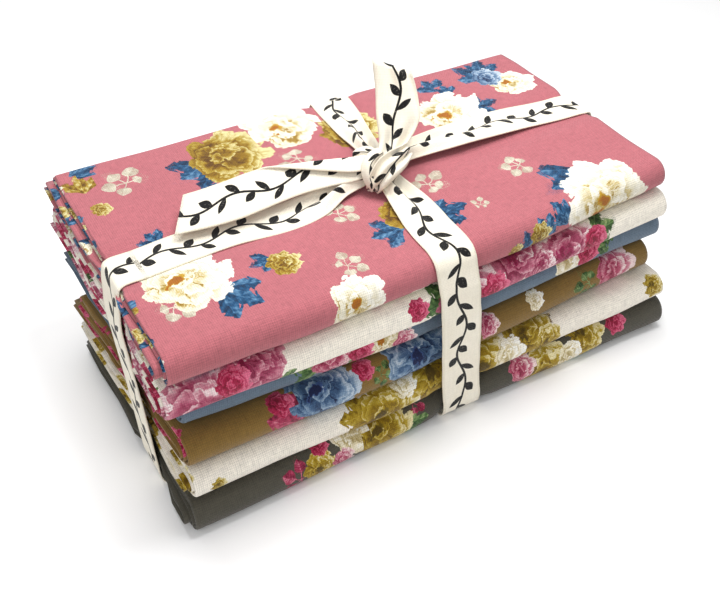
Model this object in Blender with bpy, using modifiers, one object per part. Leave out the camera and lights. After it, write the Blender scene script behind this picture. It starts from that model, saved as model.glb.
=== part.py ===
"""A fat quarter bundle: six cotton quarters, each folded to a flat packet, stacked and tied both ways with ribbon.

+X runs along the bundle, +Y to its back and +Z up. Every size below is in millimetres, and points are
scaled to metres as the meshes are made.
"""
import math
from collections import namedtuple

import bmesh
import bpy
from mathutils import Vector

MM = 0.001

# How the cloth is folded
PACKET_HEIGHT = 11.5  # one folded quarter, pressed in the stack
BANDS = 4  # the quarter is halved twice, so four bands lie over each other
BAND_PITCH = PACKET_HEIGHT / BANDS
BAND_THICKNESS = 2.3  # three plies of cotton and the air between them
BAND_GAP = BAND_PITCH - BAND_THICKNESS
OUTER_BEND = (BANDS - 1) * BAND_PITCH / 2
INNER_BEND = BAND_PITCH / 2
OUTER_BEND_STEPS = 8
INNER_BEND_STEPS = 6
BASE = -BAND_GAP / 2  # puts the lowest band's underside on the floor

# The stack, with its middle over the origin
STACK_SHIFT_X = 2.6
STACK_SHIFT_Y = 1.1
STACK_LEFT = -97.0
STACK_RIGHT = 91.0

Packet = namedtuple(
    "Packet",
    "name colour front_left front_mid front_right fold_left fold_right hem_left hem_right "
    "left_front left_back right_front right_back inner_out",
)
# front_... is where the big front fold reaches, fold_... the fold at the back and hem_... the raw edge under it.
# left_... and right_... are where the ends reach. inner_out is how far the two inner bands stick out past them.
PACKETS = (
    Packet("cloth_1_grey", (0.11, 0.11, 0.10), -58.0, -56.0, -57.0, 37.0, 45.0, 40.0, 47.0, -94.0, -93.0, 90.0, 90.0, 1.6),
    Packet("cloth_2_white", (0.80, 0.78, 0.74), -55.3, -56.0, -55.0, 32.0, 44.0, 37.0, 46.0, -92.0, -94.5, 89.5, 89.0, 1.2),
    Packet("cloth_3_tan", (0.32, 0.23, 0.12), -53.6, -53.9, -48.3, 29.0, 43.0, 35.0, 46.0, -91.5, -96.5, 85.5, 85.0, 0.8),
    Packet("cloth_4_blue", (0.16, 0.25, 0.34), -48.3, -50.8, -47.5, 44.0, 47.0, 46.0, 49.0, -89.5, -93.0, 89.0, 88.0, 1.4),
    Packet("cloth_5_rose", (0.80, 0.74, 0.66), -55.8, -57.0, -52.0, 50.0, 47.0, 52.0, 49.0, -96.5, -94.0, 85.2, 86.0, 0.6),
    Packet("cloth_6_pink", (0.62, 0.22, 0.26), -55.5, -55.5, -49.5, 50.0, 46.0, 56.0, 49.0, -94.0, -91.5, 83.8, 86.0, 2.0),
)
STACK_TOP = len(PACKETS) * PACKET_HEIGHT + 2 * BASE

# The ribbon
RIBBON_WIDTH = 14.4
RIBBON_THICKNESS = 1.0
RIBBON_CLEAR = 0.45  # between the ribbon and the cloth under it
TOP_DENT = 0.9  # how far the tight ribbon presses in each side of the stack
FLOOR_DENT = 1.6  # under the stack the cloth bulges down past the ribbon to the floor
SIDE_DENT = 1.0
DENT_FLAT = RIBBON_WIDTH / 2 + 0.8
DENT_EDGE = RIBBON_WIDTH / 2 + 4.5
SIDE_DENT_DEPTH = 14.0  # how far into the stack a dent in its side fades out
LIFT_NEAR = 16.0  # the ribbon rises to the knot and presses no more within this distance of it
LIFT_FAR = 34.0
KNOT = Vector((-3.0, -9.2, 74.0))

# Where the two bands of ribbon run: their middle lines at the ends of each face
LONG_TOP_LEFT_Y, LONG_TOP_RIGHT_Y = -11.5, -1.5
LONG_FLOOR_LEFT_Y, LONG_FLOOR_RIGHT_Y = -27.0, -6.0
CROSS_TOP_FRONT_X, CROSS_TOP_BACK_X = -4.0, 9.9
CROSS_FLOOR_FRONT_X, CROSS_FLOOR_BACK_X = 1.8, 11.0
CROSS_FRONT_Y, CROSS_BACK_Y = -56.0, 48.0


def mix(a, b, share):
    """The value that lies that share of the way from a to b."""
    return a + (b - a) * share


def smooth(value, low, high):
    """0 at low and 1 at high, with soft ends."""
    share = max(0.0, min(1.0, (value - low) / (high - low)))
    return share * share * (3 - 2 * share)


def along(x):
    """How far along the stack a place is, from 0 at its left end to 1 at its right."""
    return (x - STACK_LEFT) / (STACK_RIGHT - STACK_LEFT)


def through(y):
    """How far back a place is, from 0 at the front of the stack to 1 at its back."""
    return (y - CROSS_FRONT_Y) / (CROSS_BACK_Y - CROSS_FRONT_Y)


def long_line_y(x, z):
    """The middle line of the lengthwise ribbon, which leans as it goes down the ends."""
    height = z / STACK_TOP
    floor = mix(LONG_FLOOR_LEFT_Y, LONG_FLOOR_RIGHT_Y, along(x))
    top = mix(LONG_TOP_LEFT_Y, LONG_TOP_RIGHT_Y, along(x))
    return mix(floor, top, height)


def cross_line_x(y, z):
    """The middle line of the crosswise ribbon, which leans as it goes down the front."""
    height = z / STACK_TOP
    floor = mix(CROSS_FLOOR_FRONT_X, CROSS_FLOOR_BACK_X, through(y))
    top = mix(CROSS_TOP_FRONT_X, CROSS_TOP_BACK_X, through(y))
    return mix(floor, top, height)


def under_ribbon(distance):
    """1 under the ribbon, 0 clear of it."""
    return 1 - smooth(abs(distance), DENT_FLAT, DENT_EDGE)


def pressed(point):
    """Where a point of the cloth goes when the tight ribbon presses the stack in on every side."""
    x, y, z = point
    long_press = under_ribbon(y - long_line_y(x, z))
    cross_press = under_ribbon(x - cross_line_x(y, z))
    across = max(long_press, cross_press)
    from_knot = math.hypot(x - KNOT.x, y - KNOT.y)
    top_share = max(0.0, 1 - (STACK_TOP - z) / PACKET_HEIGHT)
    floor_share = max(0.0, 1 - z / PACKET_HEIGHT)
    dz = -TOP_DENT * top_share * across * smooth(from_knot, LIFT_NEAR, LIFT_FAR)
    dz += FLOOR_DENT * floor_share * across
    front_share = max(0.0, 1 - (y - CROSS_FRONT_Y) / SIDE_DENT_DEPTH)
    dy = SIDE_DENT * min(1.0, front_share) * cross_press
    left_share = max(0.0, 1 - (x - STACK_LEFT) / SIDE_DENT_DEPTH)
    right_share = max(0.0, 1 - (STACK_RIGHT - x) / SIDE_DENT_DEPTH)
    dx = SIDE_DENT * (min(1.0, left_share) - min(1.0, right_share)) * long_press
    return Vector((x + dx, y + dy, z + dz))


def to_place(point):
    """A point of the stack, in metres round the bundle's own origin."""
    return Vector((point[0] + STACK_SHIFT_X, point[1] + STACK_SHIFT_Y, point[2])) * MM


def arc(centre_y, centre_z, radius, start_angle, end_angle, steps):
    """The points between the two ends of a bend, as (y, z)."""
    points = []
    for step in range(1, steps):
        angle = math.radians(mix(start_angle, end_angle, step / steps))
        points.append((centre_y + radius * math.cos(angle), centre_z + radius * math.sin(angle)))
    return points


def front_at(packet, x):
    """Where the packet's front fold reaches at one place along it."""
    share = along(x)
    if share < 0.5:
        return mix(packet.front_left, packet.front_mid, smooth(share, 0.0, 0.5))
    return mix(packet.front_mid, packet.front_right, smooth(share, 0.5, 1.0))


def band_section(packet, x, low):
    """One section through a packet: its four bands as one line, back and forth, as (y, z, is_inner)."""
    front = front_at(packet, x) + OUTER_BEND + BAND_THICKNESS / 2
    fold = mix(packet.fold_left, packet.fold_right, along(x)) - INNER_BEND - BAND_THICKNESS / 2
    hem = mix(packet.hem_left, packet.hem_right, along(x))
    heights = [low + BAND_PITCH * (n + 0.5) for n in range(BANDS)]
    middle = low + PACKET_HEIGHT / 2

    def stations_y(z, back):
        line = long_line_y(x, z)
        edges = [line + side * reach for side in (-1, 1) for reach in (DENT_EDGE, DENT_FLAT)]
        return [front, *sorted(edges), mix(line + DENT_EDGE, back, 0.5), back]

    section = [(y, heights[0], False) for y in reversed(stations_y(heights[0], hem))]
    section += [(y, z, False) for y, z in arc(front, middle, OUTER_BEND, 270, 90, OUTER_BEND_STEPS)]
    section += [(y, heights[3], False) for y in stations_y(heights[3], fold)]
    fold_z = (heights[3] + heights[2]) / 2
    section += [(y, z, True) for y, z in arc(fold, fold_z, INNER_BEND, 90, -90, INNER_BEND_STEPS)]
    section += [(y, heights[2], True) for y in reversed(stations_y(heights[2], fold))]
    section += [(y, z, True) for y, z in arc(front, middle, INNER_BEND, 90, 270, INNER_BEND_STEPS)]
    section += [(y, heights[1], True) for y in stations_y(heights[1], hem - 1.5)]
    return section


def station_x(packet, station, y, z, is_inner):
    """The place along the packet of one station of its length, from its left end to its right."""
    left = mix(packet.left_front, packet.left_back, through(y)) - packet.inner_out * is_inner
    right = mix(packet.right_front, packet.right_back, through(y)) + 0.5 * packet.inner_out * is_inner
    line = cross_line_x(y, z)
    stations = (
        left,
        mix(left, line - DENT_EDGE, 0.1),
        mix(left, line - DENT_EDGE, 0.5),
        line - DENT_EDGE,
        line - DENT_FLAT,
        line + DENT_FLAT,
        line + DENT_EDGE,
        mix(line + DENT_EDGE, right, 0.5),
        mix(line + DENT_EDGE, right, 0.88),
        right,
    )
    return stations[station]


STATIONS = 10
FIRST_GUESS = (-92.0, -84.0, -48.0, -8.0, -4.0, 11.0, 15.0, 50.0, 80.0, 90.0)


def new_object(name, mesh, colour, roughness):
    """An object in the bundle's collection, with its own material."""
    shown = bpy.data.objects.new(name, mesh)
    bundle.objects.link(shown)
    material = bpy.data.materials.new(name)
    material.use_nodes = True
    surface = material.node_tree.nodes["Principled BSDF"]
    surface.inputs["Base Color"].default_value = (*colour, 1)
    surface.inputs["Roughness"].default_value = roughness
    surface.inputs["Metallic"].default_value = 0.0
    mesh.materials.append(material)
    return shown


def thicken(shown, thickness):
    """Gives an open sheet its thickness, half to each side."""
    solid = shown.modifiers.new("thickness", "SOLIDIFY")
    solid.thickness = thickness * MM
    solid.offset = 0.0
    solid.use_even_offset = True
    return solid


def folded_packet(packet, low):
    """A folded quarter: the line of its four bands, drawn out from its left end to its right as one sheet."""
    sheet = bmesh.new()
    line = band_section(packet, FIRST_GUESS[0], low)
    row = [sheet.verts.new((0, 0, 0)) for _ in line]
    edges = [sheet.edges.new(pair) for pair in zip(row, row[1:])]
    for station in range(STATIONS):
        if station:
            drawn = bmesh.ops.extrude_edge_only(sheet, edges=edges)["geom"]
            edges = [part for part in drawn if isinstance(part, bmesh.types.BMEdge)]
            edges = [edge for edge in edges if all(corner not in row for corner in edge.verts)]
            fresh = {corner for edge in edges for corner in edge.verts}
            row = [next(n for n in (e.other_vert(v) for e in v.link_edges) if n in fresh) for v in row]
        section = band_section(packet, FIRST_GUESS[station], low)
        for corner, (y, z, is_inner) in zip(row, section):
            x = station_x(packet, station, y, z, is_inner)
            corner.co = to_place(pressed((x, y, z)))
    bmesh.ops.recalc_face_normals(sheet, faces=sheet.faces)
    mesh = bpy.data.meshes.new(packet.name)
    sheet.to_mesh(mesh)
    sheet.free()
    shown = new_object(packet.name, mesh, packet.colour, 0.85)
    thicken(shown, BAND_THICKNESS)
    return shown


Turn = namedtuple("Turn", "x y z across width")


def ribbon_strip(name, turns, closed, cut_lean=0.0):
    """A strip of ribbon along its middle line. Each turn names a point and the way across the ribbon there."""
    strip = bmesh.new()
    rails = []
    for number, turn in enumerate(turns):
        across = Vector(turn.across).normalized()
        centre = Vector((turn.x, turn.y, turn.z))
        lean = Vector((0, 0, 0))
        if number == len(turns) - 1 and cut_lean:
            before = turns[number - 1]
            onward = (centre - Vector((before.x, before.y, before.z))).normalized()
            lean = onward * cut_lean / 2
        one = strip.verts.new(to_place(centre + across * turn.width / 2 - lean))
        other = strip.verts.new(to_place(centre - across * turn.width / 2 + lean))
        rails.append((one, other))
    pairs = list(zip(rails, rails[1:]))
    if closed:
        pairs.append((rails[-1], rails[0]))
    for (a, b), (c, d) in pairs:
        strip.faces.new((a, b, d, c))
    mesh = bpy.data.meshes.new(name)
    strip.to_mesh(mesh)
    strip.free()
    piece = bpy.data.objects.new(name, mesh)
    thicken(piece, RIBBON_THICKNESS)
    return piece


HALF = RIBBON_THICKNESS / 2
WIDE = RIBBON_WIDTH
ON_TOP = STACK_TOP - TOP_DENT + RIBBON_CLEAR + HALF
Bend = namedtuple("Bend", "reach z width aside")

# The lengthwise band: reach is x, and aside is how far it strays in y from its straight line.
# It runs over the top to the right, down the right end, back under the stack and up the left end.
LONG_BENDS = (
    Bend(-85.0, ON_TOP, WIDE, 0.0),
    Bend(-58.0, ON_TOP, WIDE, 0.0),
    Bend(-36.0, ON_TOP + 0.5, WIDE, -2.6),
    Bend(-22.0, ON_TOP + 2.0, 10.5, -3.0),
    Bend(-12.0, KNOT.z - 2.0, 6.5, -2.6),
    Bend(-3.0, KNOT.z - 1.4, 6.0, -2.6),
    Bend(8.0, KNOT.z - 1.6, 6.5, -1.0),
    Bend(20.0, ON_TOP + 3.6, 9.5, 0.8),
    Bend(40.0, ON_TOP + 2.0, 13.0, 1.2),
    Bend(60.0, ON_TOP + 0.4, WIDE, 0.4),
    Bend(85.0, ON_TOP, WIDE, 0.0),
    Bend(86.7, 67.6, WIDE, 0.0),
    Bend(87.4, 65.4, WIDE, 0.0),
    Bend(87.8, 58.0, WIDE, 0.0),
    Bend(89.2, 50.0, WIDE, 0.0),
    Bend(90.4, 44.0, WIDE, 0.0),
    Bend(91.0, 22.0, WIDE, 0.0),
    Bend(91.4, 9.0, WIDE, 0.0),
    Bend(91.4, 2.9, WIDE, 0.0),
    Bend(91.0, 1.2, WIDE, 0.0),
    Bend(89.8, HALF, WIDE, 0.0),
    Bend(48.0, HALF, WIDE, 0.0),
    Bend(22.0, HALF, WIDE, 0.0),
    Bend(-14.0, HALF, WIDE, 0.0),
    Bend(-50.0, HALF, WIDE, 0.0),
    Bend(-93.6, HALF, WIDE, 0.0),
    Bend(-95.2, 1.1, WIDE, 0.0),
    Bend(-96.0, 2.8, WIDE, 0.0),
    Bend(-96.3, 9.0, WIDE, 0.0),
    Bend(-96.3, 30.0, WIDE, 0.0),
    Bend(-96.6, 47.5, WIDE, 0.0),
    Bend(-96.6, 55.5, WIDE, 0.0),
    Bend(-95.9, 60.0, WIDE, 0.0),
    Bend(-95.6, 65.2, WIDE, 0.0),
    Bend(-94.6, 67.6, WIDE, 0.0),
    Bend(-92.8, ON_TOP, WIDE, 0.0),
)
# The crosswise band: reach is y, and aside is how far it strays in x.
# It runs over the top to the front, down it, back under the stack and up the back.
CROSS_BENDS = (
    Bend(45.6, ON_TOP, WIDE, 0.0),
    Bend(34.0, ON_TOP, 13.0, -0.4),
    Bend(22.0, ON_TOP + 0.8, 10.5, -1.0),
    Bend(12.0, ON_TOP + 2.4, 8.0, -1.7),
    Bend(1.0, KNOT.z - 1.6, 6.0, -2.6),
    Bend(-9.0, KNOT.z - 0.6, 6.0, -4.8),
    Bend(-17.0, KNOT.z - 2.0, 7.5, -4.2),
    Bend(-27.0, ON_TOP + 2.0, 11.5, -2.2),
    Bend(-38.0, ON_TOP + 0.6, WIDE, -1.0),
    Bend(-50.0, ON_TOP, WIDE, 0.0),
    Bend(-53.2, 67.6, WIDE, 0.0),
    Bend(-55.1, 65.4, WIDE, 0.0),
    Bend(-55.9, 62.3, WIDE, 0.0),
    Bend(-57.1, 54.5, WIDE, 0.0),
    Bend(-57.1, 48.5, WIDE, 0.0),
    Bend(-56.5, 19.0, WIDE, 0.0),
    Bend(-56.5, 5.8, WIDE, 0.0),
    Bend(-55.4, 2.9, WIDE, 0.0),
    Bend(-53.3, 0.9, WIDE, 0.0),
    Bend(-50.4, HALF + 0.05, WIDE, 0.0),
    Bend(-36.0, HALF + 0.05, WIDE, 0.0),
    Bend(-24.5, HALF + 0.05, WIDE, 0.0),
    Bend(-6.0, HALF + 0.05, WIDE, 0.0),
    Bend(20.0, HALF + 0.05, WIDE, 0.0),
    Bend(44.4, HALF + 0.05, WIDE, 0.0),
    Bend(45.5, 1.1, WIDE, 0.0),
    Bend(45.9, 2.8, WIDE, 0.0),
    Bend(49.2, 34.0, WIDE, 0.0),
    Bend(49.4, 37.2, WIDE, 0.0),
    Bend(51.6, 45.6, WIDE, 0.0),
    Bend(51.8, 48.8, WIDE, 0.0),
    Bend(53.6, 57.0, WIDE, 0.0),
    Bend(53.6, 60.2, WIDE, 0.0),
    Bend(52.0, 63.3, WIDE, 0.0),
    Bend(49.6, 65.2, WIDE, 0.0),
    Bend(49.0, 67.0, WIDE, 0.0),
    Bend(47.6, 68.3, WIDE, 0.0),
)


def long_turns():
    """The turns of the lengthwise band, which lies across every edge it is bent over."""
    turns = []
    for bend in LONG_BENDS:
        y = long_line_y(bend.reach, bend.z) + bend.aside
        turns.append(Turn(bend.reach, y, bend.z, (0, 1, 0), bend.width))
    return turns


def cross_turns():
    """The turns of the crosswise band."""
    turns = []
    for bend in CROSS_BENDS:
        x = cross_line_x(bend.reach, bend.z) + bend.aside
        turns.append(Turn(x, bend.reach, bend.z, (1, 0, 0), bend.width))
    return turns


def left_tail_turns():
    """The tail that lies over the top to the left, with its slanted cut."""
    return (
        Turn(-4.0, -8.8, KNOT.z + 1.2, (0, 1, 0.5), 7.0),
        Turn(-14.0, -7.0, KNOT.z + 1.5, (0, 1, 0.5), 9.0),
        Turn(-26.0, -5.5, KNOT.z + 1.3, (0, 1, 0.45), 12.0),
        Turn(-40.0, -5.0, KNOT.z + 0.8, (0, 1, 0.4), WIDE),
        Turn(-54.0, -3.6, KNOT.z + 0.1, (0, 1, 0.3), WIDE),
        Turn(-67.5, 0.4, KNOT.z - 2.0, (0, 1, 0.06), WIDE),
    )


def upright_tail_turns():
    """The tail that stands up out of the knot and faces the front left."""
    return (
        Turn(-1.0, -8.6, KNOT.z, (0.86, -0.5, 0), 8.0),
        Turn(3.2, -7.9, KNOT.z + 4.0, (0.86, -0.5, 0), 10.0),
        Turn(5.4, -6.6, KNOT.z + 8.8, (0.86, -0.5, 0), 13.0),
        Turn(7.2, -4.2, KNOT.z + 13.2, (0.86, -0.5, 0), WIDE),
        Turn(8.8, -0.8, KNOT.z + 18.6, (0.86, -0.5, 0), 13.6),
        Turn(10.0, 3.8, KNOT.z + 28.0, (0.86, -0.5, 0), 12.8),
    )


def knot_lump():
    """The knot itself: the ribbon wrapped once over its own crossing, as one drawn-in lump."""
    mesh = bpy.data.meshes.new("knot")
    lump = bmesh.new()
    bmesh.ops.create_uvsphere(lump, u_segments=16, v_segments=10, radius=1.0)
    for corner in lump.verts:
        x, y, z = corner.co
        waist = 1.0 - 0.16 * math.cos(3 * math.atan2(y, x))
        corner.co = to_place(KNOT + Vector((7.2 * x * waist, 7.6 * y * waist, 4.6 * z)))
    lump.to_mesh(mesh)
    lump.free()
    return bpy.data.objects.new("knot", mesh)


def ribbon_tie():
    """The one length of ribbon: both bands, the knot and its two tails, joined as one solid."""
    parts = [
        ribbon_strip("cross_band", cross_turns(), True),
        knot_lump(),
        ribbon_strip("left_tail", left_tail_turns(), False, cut_lean=10.7),
        ribbon_strip("upright_tail", upright_tail_turns(), False, cut_lean=4.0),
    ]
    long_band = ribbon_strip("long_band", long_turns(), True)
    tie = new_object("ribbon_tie", long_band.data, (0.78, 0.74, 0.62), 0.8)
    thicken(tie, RIBBON_THICKNESS)
    bpy.data.objects.remove(long_band)
    for part in parts:
        joined.objects.link(part)
        part.hide_render = True
        part.display_type = "WIRE"
        union = tie.modifiers.new(part.name, "BOOLEAN")
        union.operation = "UNION"
        union.solver = "EXACT"
        union.object = part
    return tie


for old in list(bpy.data.objects):
    bpy.data.objects.remove(old)
bundle = bpy.data.collections.new("fat_quarter_bundle")
joined = bpy.data.collections.new("ribbon_pieces_to_join")
for group in (bundle, joined):
    bpy.context.scene.collection.children.link(group)

for number, packet in enumerate(PACKETS):
    folded_packet(packet, BASE + number * PACKET_HEIGHT)
ribbon_tie()
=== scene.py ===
"""A fat quarter bundle: six folded cotton quarters, stacked, and tied both ways with cotton ribbon.

Sizes in the tables are millimetres in the stack's own place; a mesh's points become metres as it is made.
"""

import math
from collections import namedtuple

import bpy
import numpy as np
from mathutils import Matrix, Vector, noise


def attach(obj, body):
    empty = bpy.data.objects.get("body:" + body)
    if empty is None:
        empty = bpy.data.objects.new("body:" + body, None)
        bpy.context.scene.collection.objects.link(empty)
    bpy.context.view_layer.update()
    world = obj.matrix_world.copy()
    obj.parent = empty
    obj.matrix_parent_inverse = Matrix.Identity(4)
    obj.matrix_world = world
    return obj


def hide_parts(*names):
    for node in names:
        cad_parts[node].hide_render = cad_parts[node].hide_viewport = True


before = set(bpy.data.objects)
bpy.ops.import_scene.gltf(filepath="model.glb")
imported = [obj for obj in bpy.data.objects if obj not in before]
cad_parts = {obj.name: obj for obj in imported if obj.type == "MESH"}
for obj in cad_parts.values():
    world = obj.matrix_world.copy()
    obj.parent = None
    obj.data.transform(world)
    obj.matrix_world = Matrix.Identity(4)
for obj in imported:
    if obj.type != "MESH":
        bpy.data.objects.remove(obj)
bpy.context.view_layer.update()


# The table and the light
# The bundle stands on a plain white table under a soft light from above and a little behind,
# seen from its front left corner and from above.

TABLE_REACH = 3.0
LAMP_AIM = Vector((0.0, 0.0, 0.03))
CAMERA_PLACE = (-0.1440, -0.2408, 0.2447)


def settle(node, **values):
    """Sets a shader node's own sockets, each by its name with _ for a space."""
    for label, value in values.items():
        node.inputs[label.replace("_", " ")].default_value = value


table_mesh = bpy.data.meshes.new("table_top")
table_corners = [(TABLE_REACH * x, TABLE_REACH * y, 0) for x, y in ((-1, -1), (1, -1), (1, 1), (-1, 1))]
table_mesh.from_pydata(table_corners, [], [(0, 1, 2, 3)])
table = bpy.data.objects.new("table_top", table_mesh)
bpy.context.scene.collection.objects.link(table)
table_white = bpy.data.materials.new("table_white")
table_white.use_nodes = True
table_surface = table_white.node_tree.nodes["Principled BSDF"]
settle(table_surface, Base_Color=(0.98, 0.98, 0.98, 1), Roughness=0.9, Specular_IOR_Level=0.1)
table_mesh.materials.append(table_white)

room = bpy.data.worlds.new("white_room")
room.use_nodes = True
settle(room.node_tree.nodes["Background"], Color=(1.0, 1.0, 1.0, 1), Strength=0.5)
bpy.context.scene.world = room

for lamp_name, place, size, power in (
    ("back_softbox", (-0.04, 0.22, 0.66), 0.3, 2.2),
    ("near_softbox", (0.05, -0.03, 0.37), 0.14, 0.74),
    ("left_softbox", (-0.42, -0.42, 0.52), 0.4, 1.15),
):
    lamp_data = bpy.data.lights.new(lamp_name, "AREA")
    lamp_data.shape = "DISK"
    lamp_data.size = size
    lamp_data.energy = power
    lamp = bpy.data.objects.new(lamp_name, lamp_data)
    lamp.location = place
    lamp.rotation_euler = (LAMP_AIM - Vector(place)).to_track_quat("-Z", "Y").to_euler()
    bpy.context.scene.collection.objects.link(lamp)

right_way = Vector((0.861, -0.508, -0.003)).normalized()
view_way = Vector((0.391, 0.666, -0.635)).normalized()
up_way = right_way.cross(view_way).normalized()
view_way = up_way.cross(right_way)
camera_data = bpy.data.cameras.new("camera")
camera_data.lens = 50
camera_data.sensor_width = 36
camera_data.clip_start = 0.01
camera = bpy.data.objects.new("camera", camera_data)
camera_turn = Matrix((right_way, up_way, -view_way)).transposed().to_4x4()
camera.matrix_world = Matrix.Translation(CAMERA_PLACE) @ camera_turn
bpy.context.scene.collection.objects.link(camera)
bpy.context.scene.camera = camera
bpy.context.scene.view_settings.view_transform = "Standard"


# Cloth 1, warm grey
# A quarter of quilting cotton, 457 by 559 mm, folded in three along its length and halved twice
# across its width, so a packet has four bands of three plies. The printed side is out.

MM = 0.001
PACKET_HEIGHT = 11.5
BAND_PITCH = PACKET_HEIGHT / 4
BAND_THICKNESS = 2.3
PLY_PITCH = 0.95
CLOTH = 0.36  # how thick the cloth is
OUTER_BEND = BAND_PITCH * 1.5
INNER_BEND = BAND_PITCH / 2
BASE = -(BAND_PITCH - BAND_THICKNESS) / 2
STACK_LEFT, STACK_RIGHT = -97.0, 91.0
STACK_FRONT, STACK_DEPTH = -56.0, 104.0
STACK_TOP = 6 * PACKET_HEIGHT + 2 * BASE
STACK_SHIFT = Vector((2.6, 1.1, 0.0))  # puts the middle of the whole bundle over its origin

# How far it is round the outer cloth: half of the front bend, the bend at the back and the inner bend.
HALF_FRONT_ROUND, BACK_ROUND, INNER_ROUND = 7.95, 7.5, 3.0

# How unevenly packets lie on each other, how far their fronts bulge, how ragged the ends of the plies are,
# how loosely ply lies on ply, and where the two raw ends of the plies stand past the folds beside them.
UNEVEN, BULGE, RAGGED, LOOSE_PLY = 0.75, 0.8, 0.9, 0.13
RAW_LEFT, RAW_RIGHT = -1.6, 0.4
INNER_HEM = 1.5  # how far the inner band's raw edge lies in from the outer one's
OFF_TABLE = 0.02  # how far the lowest ply stays off the table

# Where the tight ribbon runs and how it presses the stack in. A dent is level for DENT_FLAT to each side
# of the ribbon's middle line and ends at DENT_EDGE, and DENT_REACH is how far in from a side it is felt.
# Near the knot the ribbon stands clear of the cloth: KNOT_CLEAR is where its dent starts and is full.
# The ribbon's two middle lines lean: each is given at the floor and on top, from its one end to its other.
KNOT = Vector((-3.0, -9.2, 74.0))
LONG_LINE_LOW, LONG_LINE_HIGH = (-27.0, -6.0), (-11.5, -1.5)
CROSS_LINE_LOW, CROSS_LINE_HIGH = (1.8, 11.0), (-4.0, 9.9)
TOP_DENT, FLOOR_DENT, SIDE_DENT = 0.9, 1.6, 1.0
DENT_FLAT, DENT_EDGE, DENT_REACH = 8.0, 11.7, 14.0
KNOT_CLEAR = (16.0, 34.0)

# Behind the ribbon's run down an end no cloth reaches past these places. The left one is HOLD_TIGHTER
# farther in above and below HOLD_HEIGHT. The right one is the first place low down, the second high up.
HOLD_FLAT, HOLD_EDGE = 8.0, 12.5
LEFT_HOLD, HOLD_TIGHTER, HOLD_HEIGHT = -95.3, 0.4, 50.0
RIGHT_HOLD = (90.6, 87.0)

# The front_ values are where the big front fold reaches, fold_ the fold at the back, hem_ the raw edge
# under it, left_ and right_ the ends. inner_out is how far the inner bands stick out past the outer ones.
Quarter = namedtuple(
    "Quarter",
    "node front_left front_mid front_right fold_left fold_right hem_left hem_right "
    "left_front left_back right_front right_back inner_out",
)


def mix(a, b, share):
    """The value that lies that share of the way from a to b."""
    return a + (b - a) * share


def smooth(value, low, high):
    """0 at low and 1 at high, with soft ends."""
    share = max(0.0, min(1.0, (value - low) / (high - low)))
    return share * share * (3 - 2 * share)


def along(x):
    """How far along the stack a place is, from 0 at its left end to 1 at its right."""
    return (x - STACK_LEFT) / (STACK_RIGHT - STACK_LEFT)


def through(y):
    """How far back a place is, from 0 at the front of the stack to 1 at its back."""
    return (y - STACK_FRONT) / STACK_DEPTH


def long_line_y(x, z):
    """The middle line of the lengthwise ribbon, which leans as it goes down the ends."""
    return mix(mix(*LONG_LINE_LOW, along(x)), mix(*LONG_LINE_HIGH, along(x)), z / STACK_TOP)


def cross_line_x(y, z):
    """The middle line of the crosswise ribbon, which leans as it goes down the front."""
    return mix(mix(*CROSS_LINE_LOW, through(y)), mix(*CROSS_LINE_HIGH, through(y)), z / STACK_TOP)


def near_side(gap):
    """1 at a side of the stack, and 0 where the press of the ribbon isn't felt any more."""
    return max(0.0, min(1.0, 1 - gap / DENT_REACH))


def pressed(point):
    """Where a point of the cloth goes when the tight ribbon presses the stack in on every side."""
    x, y, z = point
    long_press = 1 - smooth(abs(y - long_line_y(x, z)), DENT_FLAT, DENT_EDGE)
    cross_press = 1 - smooth(abs(x - cross_line_x(y, z)), DENT_FLAT, DENT_EDGE)
    press = max(long_press, cross_press)
    top_share = max(0.0, 1 - (STACK_TOP - z) / PACKET_HEIGHT)
    floor_share = max(0.0, 1 - z / PACKET_HEIGHT)
    off_knot = smooth(math.hypot(x - KNOT.x, y - KNOT.y), *KNOT_CLEAR)
    rise = FLOOR_DENT * floor_share * press - TOP_DENT * top_share * press * off_knot
    back = SIDE_DENT * near_side(y - STACK_FRONT) * cross_press
    inward = SIDE_DENT * (near_side(x - STACK_LEFT) - near_side(STACK_RIGHT - x)) * long_press
    return Vector((x + inward, y + back, z + rise))


def held_in(point):
    """Where the ribbon passes down an end of the stack, it holds the loose folds of cloth in behind it."""
    x, y, z = point
    near = 1 - smooth(abs(y - long_line_y(x, z)), HOLD_FLAT, HOLD_EDGE)
    left_limit = LEFT_HOLD + HOLD_TIGHTER * smooth(abs(z - HOLD_HEIGHT), 3.0, 14.0)
    right_limit = mix(*RIGHT_HOLD, smooth(z, 22.0, 62.0))
    return Vector((mix(x, max(left_limit, min(right_limit, x)), near), y, z))


def soft_wave(x, y, layer, height):
    """A slow, even unevenness of cloth lying on cloth, up to about that height."""
    long_wave = noise.noise((x / 46, y / 38, 7.3 * layer))
    short_wave = noise.noise((x / 19, y / 17, 3.1 * layer + 40))
    return height * (long_wave + 0.5 * short_wave)


def settled(point):
    """Where a point goes as the packets settle on each other: each lies a little unevenly on the next."""
    x, y, z = point
    level = max(0.0, min(6.0, (z - BASE) / PACKET_HEIGHT))
    below = min(5, int(level))
    low = 0.0 if below == 0 else soft_wave(x, y, below, UNEVEN)
    high = soft_wave(x, y, below + 1, UNEVEN)
    bulge = smooth(-y, 30.0, 50.0) * soft_wave(x, 3 * below, below + 20, BULGE)
    return Vector((x, y + bulge, z + mix(low, high, level - below)))


def to_place(point):
    """A point of the stack, in metres round the bundle's own origin."""
    return (Vector(point) + STACK_SHIFT) * MM


def front_at(quarter, x):
    """Where the front fold reaches at one place along the packet."""
    share = along(x)
    if share < 0.5:
        return mix(quarter.front_left, quarter.front_mid, smooth(share, 0.0, 0.5))
    return mix(quarter.front_mid, quarter.front_right, smooth(share, 0.5, 1.0))


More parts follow.
